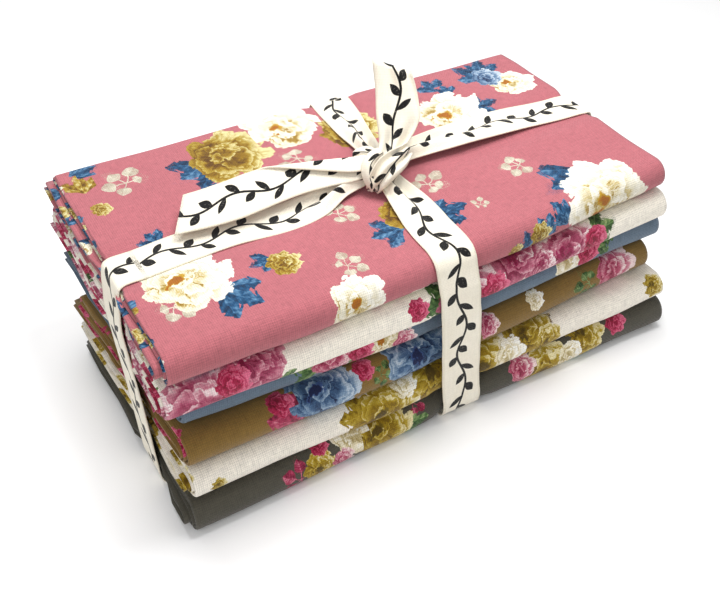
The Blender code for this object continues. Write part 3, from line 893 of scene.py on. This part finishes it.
MAUVE_ROSE = shades((0.0, 122, 32, 62), (0.35, 168, 74, 102), (0.7, 204, 134, 150), (1.0, 242, 222, 222))

rose_quarter = Quarter(
    "cloth_5_rose", -55.8, -57, -52, 50, 47, 52, 49, -96.5, -94, 85.2, 86, 0.6,
)
rose_prints = {
    "bloom": (
        (-86, -5, 18, 20, 1), (-72, 6, 13, 90, 1), (6, -2, 15, 0, 1), (26, 7, 13, 40, 1), (46, -2, 15, 0, 1),
        *FAR_BLOOMS, (70, 80, 13, 0, 1), (66, 18, 10, 0, 1),
    ),
    "over": (
        (-77, 1, 6, 0, 2), (-15, 2, 4, 0, 2), (14, -1, 6, 0, 2), (58, 0, 6, 0, 2), (34, 0, 6, 0, 1),
        *((-101, around, 5.4, 9 * around, 1 + around % 2) for around in range(2, 114, 13)),
    ),
    "leaf": (
        (-101.5, 8, 6, 0, 1), (-101.5, 66, 6, 0, 2), (-60, -5, 5, -10, 1), (-8, 1, 8, 180, 1),
        (36, -6, 9, 200, 1), (62, 3, 8, 10, 1), *FAR_LEAVES,
    ),
}
rose_cloth = finish_quarter(
    rose_quarter, 4, rose_prints, dye(244, 236, 220), pollen=dye(160, 40, 86), heart=dye(126, 22, 60),
    blooms=(MAUVE_ROSE, CRIMSON_ROSE), leaves=(GREEN_LEAF, MAROON_LEAF),
)


# Cloth 6, dusty pink
# The top quarter, of the same cotton, folded as the others and laid on the cream one. It is printed
# with cream peonies, mustard roses, blue leaves and pale sprigs on dusty pink.

PEONY = shades((0.0, 150, 118, 46), (0.14, 196, 176, 116), (0.34, 222, 214, 188), (1.0, 244, 240, 228))
MUSTARD_ROSE = shades((0.0, 88, 57, 4), (0.35, 135, 102, 16), (0.62, 165, 138, 48), (1.0, 216, 206, 150))
BLUE_LEAF = shades((0.0, 6, 37, 64), (0.45, 28, 76, 114), (1.0, 104, 146, 180))
PALE_LEAF = shades((0.0, 168, 152, 134), (0.5, 194, 186, 166), (1.0, 214, 208, 190))

pink_quarter = Quarter(
    "cloth_6_pink", -55.5, -55.5, -49.5, 50, 46, 56, 49, -94, -91.5, 83.8, 86, 2,
)
pink_prints = {
    "bloom": (
        (-79, 33.4, 15.5, 20, 1), (-49.8, 25.5, 6, 0, 2), (-36.6, 1.1, 10, 30, 1), (-2.1, 29.5, 11, 0, 2),
        (64, 2.7, 19, 100, 1), (-39.9, 88, 17, 0, 2), (-15, 96.6, 16, 70, 1),
        (7.2, 83.1, 13, 20, 2), (45.2, 70, 16, 10, 1), (80, 75.8, 10, 0, 1), (-90, 78.8, 4, 0, 2),
        *((-101.6, around, 4.6, 9 * around, 1 + around % 2) for around in range(4, 114, 23)),
    ),
    "over": ((22.5, -2.5, 3.2, 0, 2), (33, -0.5, 4.8, 0, 2), (74, 84.2, 7, 0, 3)),
    "leaf": (
        (-68, 18, 10, -50, 1), (-32.6, 15.6, 7, 20, 2), (-14.7, 23.1, 8, 180, 1), (9.7, 23.2, 8, 0, 1),
        (13.4, 39.7, 8, 30, 2), (44.3, 31.2, 8, 160, 2), (20.8, 20.7, 4, 60, 2), (-20.9, 73.9, 9, 200, 2),
        (-78.4, 91.5, 10, 120, 2), (-21.2, 40, 8, 10, 2), (54, 14.5, 12, 190, 1), (27, -1, 5, 100, 1),
        (37, 2, 6, 70, 1), (43, 4, 6, 110, 1), (-55.4, 83.7, 10, 200, 1), (49.7, 90.8, 7, 100, 1),
        (53.5, 85.4, 5, 80, 1), (60, 68.7, 7, 0, 1), (70, 90, 9, 120, 1), (-91.5, 97, 8, 90, 3),
        (-81, 57, 5, 120, 1), (-56, 29, 5, 180, 1), (76, 92, 8, 60, 1), (-88, 104, 7, 10, 1),
        *((-101, around, 5.2, 60 + 7 * around, 1) for around in range(14, 114, 16)), (-86, 22, 8, -60, 2),
    ),
}
pink_cloth = finish_quarter(
    pink_quarter, 5, pink_prints, dye(171, 98, 105),
    blooms=(PEONY, MUSTARD_ROSE, BLUE_ROSE), leaves=(BLUE_LEAF, PALE_LEAF, MUSTARD_ROSE),
)


# The ribbon
# One length of flat cotton ribbon, 14.4 mm wide, woven with two firm edges. It runs round the stack
# lengthwise and crosswise and is tied once on top, where it gathers to a knot with two cut tails.

RIBBON = 0.42  # how thick the ribbon is
RIBBON_WIDTH = 14.4
RIBBON_ACROSS = 29  # points across its width
SNUG = 0.55  # how much closer the thin ribbon lies to the cloth than the middle of its solid
ON_TOP = STACK_TOP - TOP_DENT + 0.95  # the middle of its solid where it lies on the top quarter
FOLD_BEND = 0.55
CROWN = 0.12  # how far the middle of the ribbon stands above its edges


def full_width(*spots):
    """Rows of a band where it runs at its full width along its straight line."""
    return [(reach, z, RIBBON_WIDTH, 0.0) for reach, z in spots]


# The lengthwise band: x, z, width and how far it strays in y. Over the top, down the right end,
# back under the stack and up the left end.
LONG_BENDS = (
    *full_width((-85, ON_TOP), (-58, ON_TOP)), (-36, ON_TOP + 0.3, 14.3, -3.2),
    (-26, ON_TOP + 0.9, 11.4, -3.6), (-17, KNOT.z - 2.6, 7.2, -2.6), (-8, KNOT.z - 1.8, 5.4, -2.6),
    (0, KNOT.z - 1.4, 5.6, -1.4), (9, KNOT.z - 1, 7, 0.4), (18, KNOT.z - 1.6, 9.2, 1.6),
    (28, ON_TOP + 3.2, 11, 2.4), (45, ON_TOP + 1.9, 13.2, 3), (64, ON_TOP + 0.7, 14.3, 2.8),
    (76, ON_TOP + 0.1, 14.4, 1.4), (83, ON_TOP, 14.4, 0.4),
    *full_width(
        (86.3, 68), (87.4, 65.4), (87.8, 58), (89.2, 50), (90.4, 44), (91, 22), (91.4, 9),
        (91.4, 2.9), (91, 1.2), (89.8, 0.5), (48, 0.5), (22, 0.5), (-14, 0.5), (-50, 0.5),
        (-93.6, 0.5), (-95.2, 1.1), (-96, 2.8), (-96.3, 9), (-96.3, 30), (-96.6, 47.5), (-96.6, 55.5),
        (-95.9, 60), (-95.6, 65.2), (-94.6, 67.6), (-92.8, ON_TOP),
    ),
)
# The crosswise band: y, z, width and how far it strays in x. Over the top to the front, down it,
# back under the stack and up the back.
CROSS_BENDS = (
    (45.6, ON_TOP, 14.4, 0), (34, ON_TOP, 13, -0.4), (22, ON_TOP + 0.8, 10.5, -1),
    (12, ON_TOP + 2.4, 8, -1.7), (1, KNOT.z - 1.6, 6, -2.6), (-9, KNOT.z - 2.2, 6, -4),
    (-17, KNOT.z - 2, 7.5, -3.4), (-27, ON_TOP + 2, 11.5, -2), (-38, ON_TOP + 0.6, 14.4, -1),
    *full_width(
        (-50, ON_TOP), (-53.2, 67.6), (-55.1, 65.4), (-55.9, 62.3), (-57.1, 54.5), (-57.1, 48.5),
        (-56.5, 19), (-56.5, 5.8), (-55.4, 2.9), (-53.3, 0.9), (-50.4, 0.55), (-36, 0.55), (-24.5, 0.55),
        (-6, 0.55), (20, 0.55), (44.4, 0.55), (45.5, 1.1), (45.9, 2.8), (49.2, 34), (49.4, 37.2),
        (51.6, 45.6), (51.8, 48.8), (53.6, 57), (53.6, 60.2), (52, 63.3), (49.6, 65.2), (49, 67),
        (47.6, 68.3),
    ),
)


def curve_through(rows, closed, steps):
    """Rows of numbers with the in-between rows that a smooth curve through them would have."""
    rows = np.array(rows, dtype=float)
    count = len(rows)
    smooth_rows = []
    for n in range(count if closed else count - 1):
        if closed:
            a, b, c, d = (rows[(n + k) % count] for k in (-1, 0, 1, 2))
        else:
            b, c = rows[n], rows[n + 1]
            a = rows[n - 1] if n else 2 * b - c
            d = rows[n + 2] if n + 2 < count else 2 * c - b
        # A long straight run doesn't bow beside a tight bend: the shorter neighbour limits the slope.
        gaps = ((q - p)[:3] for p, q in ((a, b), (b, c), (c, d)))
        near, span, far = (max(1e-6, float(np.linalg.norm(gap))) for gap in gaps)
        slope_b = ((b - a) / near * span + (c - b) / span * near) / (near + span) * min(span, 2 * near)
        slope_c = ((c - b) / span * far + (d - c) / far * span) / (span + far) * min(span, 2 * far)
        for k in range(steps):
            t = k / steps
            smooth_rows.append(
                (2 * t**3 - 3 * t**2 + 1) * b + (t**3 - 2 * t**2 + t) * slope_b
                + (3 * t**2 - 2 * t**3) * c + (t**3 - t**2) * slope_c
            )
    if not closed:
        smooth_rows.append(rows[-1])
    return np.array(smooth_rows)


def folded_over(from_edge, fold, width):
    """Side and height of a place on a folded run: what lies beyond its fold comes back over the rest."""
    beyond = from_edge - fold
    side, height = from_edge, 0.0
    if beyond >= math.pi * FOLD_BEND:
        back = beyond - math.pi * FOLD_BEND
        side, height = fold - 0.97 * back, 2 * FOLD_BEND + 0.2 * back - 0.012 * back * back
    elif beyond >= 0:
        side = fold + FOLD_BEND * math.sin(beyond / FOLD_BEND)
        height = FOLD_BEND * (1 - math.cos(beyond / FOLD_BEND))
    return side * (width / RIBBON_WIDTH), height


def gathered(t, gone, width, pleats, deepest, rolled):
    """Side and height of a place on a run that is gathered where it's narrow: in pleats, or rolled."""
    spare = max(0.0, RIBBON_WIDTH**2 - width**2)
    depth = min(deepest, math.sqrt(2 * spare) / (2 * math.pi * pleats) * 0.8)
    rise = CROWN * (1 - 4 * t * t)
    if rolled:
        return t * width, rise + depth * math.cos(math.pi * t)
    sway = pleats * (t + 0.04 * math.sin(gone / 6))
    return t * width, rise + depth * math.sin(2 * math.pi * sway) * (1 - 0.3 * abs(t))


def ribbon_run(rows, closed=False, pleats=1.5, deepest=2.6, rolled=False, folded=False, lean=0.0):
    """One run of ribbon, from rows of a middle point, the way across, and the width: points and places.

    A folded run starts from its front edge instead of its middle, and its rows also say where it folds
    over. lean is how much longer one edge of a cut end is than the other.
    """
    steps = 6
    rows = curve_through(rows, closed, steps)
    count = len(rows)
    middle, across, width = rows[:, :3], rows[:, 3:6], rows[:, 6]
    across = across / np.linalg.norm(across, axis=1)[:, None]
    onward = np.roll(middle, -1, 0) - np.roll(middle, 1, 0)
    if not closed:
        onward[0], onward[-1] = middle[1] - middle[0], middle[-1] - middle[-2]
    onward /= np.linalg.norm(onward, axis=1)[:, None]
    out = np.cross(across, onward)
    out /= np.linalg.norm(out, axis=1)[:, None]
    gone = np.concatenate(([0.0], np.cumsum(np.linalg.norm(np.diff(middle, axis=0), axis=1))))
    points, places = [], []
    for n in range(count):
        for k in range(RIBBON_ACROSS):
            t = k / (RIBBON_ACROSS - 1) - 0.5
            if folded:
                side, height = folded_over((t + 0.5) * RIBBON_WIDTH, rows[n, 7], width[n])
            else:
                side, height = gathered(t, gone[n], width[n], pleats, deepest, rolled)
            slant = -lean * (t + 0.5) * smooth(n, count - 1 - 3 * steps, count - 1)
            spot = middle[n] + across[n] * side + out[n] * height + onward[n] * slant
            points.append(to_place(settled(spot)))
            places.append((gone[n] + slant, t * RIBBON_WIDTH))
    return points, places, gone[-1]


def band_rows(bends, lengthwise):
    """The middle points of a band, drawn in to lie on the thin cloth."""
    path = np.array([(reach, z) for reach, z, *_ in bends])
    ways = np.roll(path, -1, 0) - np.roll(path, 1, 0)
    ways /= np.linalg.norm(ways, axis=1)[:, None]
    turned = np.stack((-ways[:, 1], ways[:, 0]), axis=1)
    rows = []
    from_middle = path - (0.0, STACK_TOP / 2)
    for (reach, z, width, aside), (out_reach, out_z), way in zip(bends, turned, from_middle):
        sign = 1 if out_reach * way[0] + out_z * way[1] > 0 else -1
        snug = SNUG * (width > 14) * (z > 60)
        reach, low = reach - sign * out_reach * snug, z - sign * out_z * snug
        if lengthwise:
            rows.append((reach, long_line_y(reach, z) + aside, low, 0, 1, 0, width))
        else:
            rows.append((cross_line_x(reach, z) + aside, reach, low, 1, 0, 0, width))
    return rows


def facing(across, *spots):
    """Rows of a run that keeps its way across, from (x, y, z, width) spots."""
    return [(x, y, z, *across, width) for x, y, z, width in spots]


# The left tail, by its front edge: near the knot its back part is folded over its front part.
LEFT_TAIL = (
    (-5.5, -11.6, 74, 0.42, 0.72, 0.55, 13.4, 7), (-12.6, -11.3, 73.3, 0.40, 0.76, 0.52, 14.2, 7.4),
    (-20, -9.5, 72.8, 0.38, 0.80, 0.46, 14.4, 8.4), (-30, -8.1, 72.3, 0.36, 0.84, 0.40, 14.4, 10.4),
    (-38.2, -8.3, 71.9, 0.30, 0.86, 0.38, 14.4, 12.6), (-44, -8.9, 71.6, 0.20, 0.90, 0.40, 14.4, 14.2),
    (-50, -9.3, 71.3, 0.17, 0.90, 0.40, 14.4, 14.4), (-60.5, -8.5, 71, 0.15, 0.93, 0.34, 14.4, 14.4),
    (-72.2, -6.8, 70.7, 0.15, 0.95, 0.27, 14.4, 14.4),
)
# The upright tail wraps over the knot from below, then stands up and faces the front left.
UPRIGHT_TAIL = (
    *facing(
        (0.86, -0.5, 0), (-1.4, -10.4, 71, 3.2), (-2, -11.2, 73.6, 4.6), (-2.1, -11.4, 75.7, 5.8),
    ),
    (-1.5, -11.1, 77.2, 0.86, -0.5, 0.1, 6.8), (-0.5, -11, 78.2, 0.86, -0.5, 0.14, 7.6),
    (1.6, -9.4, 79.2, 0.86, -0.5, 0.12, 8.4), (3.6, -7.9, 80.8, 0.86, -0.5, 0.06, 9.6),
    *facing(
        (0.86, -0.5, 0), (5.3, -6.6, 83.4, 11.8), (7, -4.5, 87.2, 13.9), (8.6, -1, 92.5, 13.4),
        (9.6, 4.6, 102, 11.6),
    ),
)
# The other turns that show in the knot: a roll down its left side, the pleated turn that wraps it,
# a short wedge and a crumple.
KNOT_ROLL = (
    (-2.7, -8.9, 78.6, 0.05, 0.67, 0.73, 3.6), (-6.2, -10.4, 78.7, -0.26, 0.74, 0.62, 4),
    (-8.4, -11.9, 77.3, -0.75, 0.59, 0.16, 4.2), (-9.1, -13.4, 75, -0.89, 0.45, -0.07, 4),
    (-8.3, -14.5, 72.4, -0.91, 0.24, -0.31, 3.6), (-6.1, -14, 69.8, -0.85, 0.13, -0.38, 2.8),
)
KNOT_WRAP = (
    (6, -12.3, 78.8, -0.10, 0.71, 0.69, 4.6), (2.5, -14.8, 79.4, -0.15, 0.73, 0.67, 6),
    (-1, -16.2, 79.5, -0.26, 0.74, 0.62, 7.2), (-4, -16.7, 78.6, -0.43, 0.74, 0.51, 7.6),
    (-6.5, -16.9, 76.4, -0.56, 0.72, 0.41, 7), (-7.9, -16.4, 73.5, -0.67, 0.68, 0.30, 6),
    (-8, -14.7, 70.4, -0.72, 0.65, 0.23, 4.6),
)
KNOT_WEDGE = facing(
    (0.33, 0.55, 0.77),
    (-0.6, -13.4, 71.6, 5), (-3.4, -14, 71.2, 4.6), (-6.2, -13.9, 70.6, 3.2), (-9, -12.6, 69.8, 1),
)
KNOT_CRUMPLE = facing(
    (0.7, 0.3, 0.64),
    (-2.6, -8, 75.6, 4), (-5.2, -6, 78, 4.2), (-7.6, -4.3, 77.6, 4), (-8, -4.6, 75.4, 3.6),
    (-5.5, -6.4, 73.8, 3.2),
)

points, places, faces = [], [], []
ribbon_length = 0.0
for rows, settings in (
    (band_rows(LONG_BENDS, True), {"closed": True}),
    (band_rows(CROSS_BENDS, False), {"closed": True}),
    (LEFT_TAIL, {"folded": True, "lean": 6.4}),
    (UPRIGHT_TAIL, {"lean": 4.0, "pleats": 2.0, "deepest": 1.3}),
    (KNOT_ROLL, {"rolled": True, "deepest": 1.7}),
    (KNOT_WRAP, {"pleats": 2.3, "deepest": 0.9}),
    (KNOT_WEDGE, {"rolled": True, "deepest": 1.0}),
    (KNOT_CRUMPLE, {"rolled": True, "deepest": 1.5}),
):
    run_points, run_places, run_length = ribbon_run(rows, **settings)
    run_rows = len(run_points) // RIBBON_ACROSS
    faces += grid_faces(run_rows, RIBBON_ACROSS, settings.get("closed", False), first=len(points))
    points += run_points
    places += [(x + ribbon_length, y) for x, y in run_places]
    ribbon_length += run_length
ribbon = cloth_piece("cotton_ribbon", points, faces, places, RIBBON)

# The vine: its stem sways once in VINE_WAVE, with a leaf every LEAF_STEP to one side and then the other.
VINE_WAVE, VINE_SWAY = 26, 1.7
LEAF_STEP, HALF_LEAF, LEAF_OFF_STEM = 4.6, 2.7, 2.0
SELVEDGE = (6.2, 6.5)  # where the firm edge begins, out from the ribbon's middle


def ribbon_cotton(name, printed):
    """Cream cotton ribbon with firm woven edges, and on its face a running vine printed in black."""
    material, bench, cloth, weave = new_cotton(name, Thread=0.5, Slubs=0.6)
    run, across, _ = bench.split(cloth)
    edge = bench.ease(abs(across), *SELVEDGE)
    ground = bench.blend(bench.grain(cloth, 0.12, 3.0), dye(240, 230, 208), dye(251, 245, 230))
    colour = bench.blend(edge * 0.35, ground, dye(224, 214, 190))
    if printed:
        off_stem = across - bench.sine(run * (2 * math.pi / VINE_WAVE)) * VINE_SWAY
        stem_ink = 1.0 - bench.ease(abs(off_stem), 0.36, 0.5)
        step = run / LEAF_STEP
        leaf = bench.math("FLOOR", step)
        in_leaf = (step - leaf - 0.5) * LEAF_STEP
        hand = leaf % 2.0 * 2.0 - 1.0
        rise = off_stem * hand - LEAF_OFF_STEM
        lie = in_leaf * 0.72 + rise * 0.69
        cross = rise * 0.72 - in_leaf * 0.69
        plump = bench.chance(bench.joined(leaf, 3.0, 1.0)) * 0.35 + 1.15
        half = bench.math("MAXIMUM", 1.0 - (lie / HALF_LEAF) ** 2.0, 0.0) * plump
        leaf_ink = bench.ease(half - abs(cross), 0.0, 0.12)
        worn = bench.ease(bench.grain(cloth, 1.4, 3.0), 0.2, 0.42) * 0.25 + 0.75
        colour = bench.blend(bench.math("MAXIMUM", stem_ink, leaf_ink) * worn, colour, dye(16, 15, 15))
    finish_cotton(
        material, bench, colour, weave, greys=(0.72, 0.97, 1.12), roughness=(0.76, 0.9), sheen=0.15,
        height=edge * 0.5 + weave["Height"], relief=0.6,
    )
    return material


ribbon.data.materials.append(ribbon_cotton("ribbon_face", True))
ribbon.data.materials.append(ribbon_cotton("ribbon_back", False))
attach(ribbon, "root")
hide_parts("ribbon_tie")
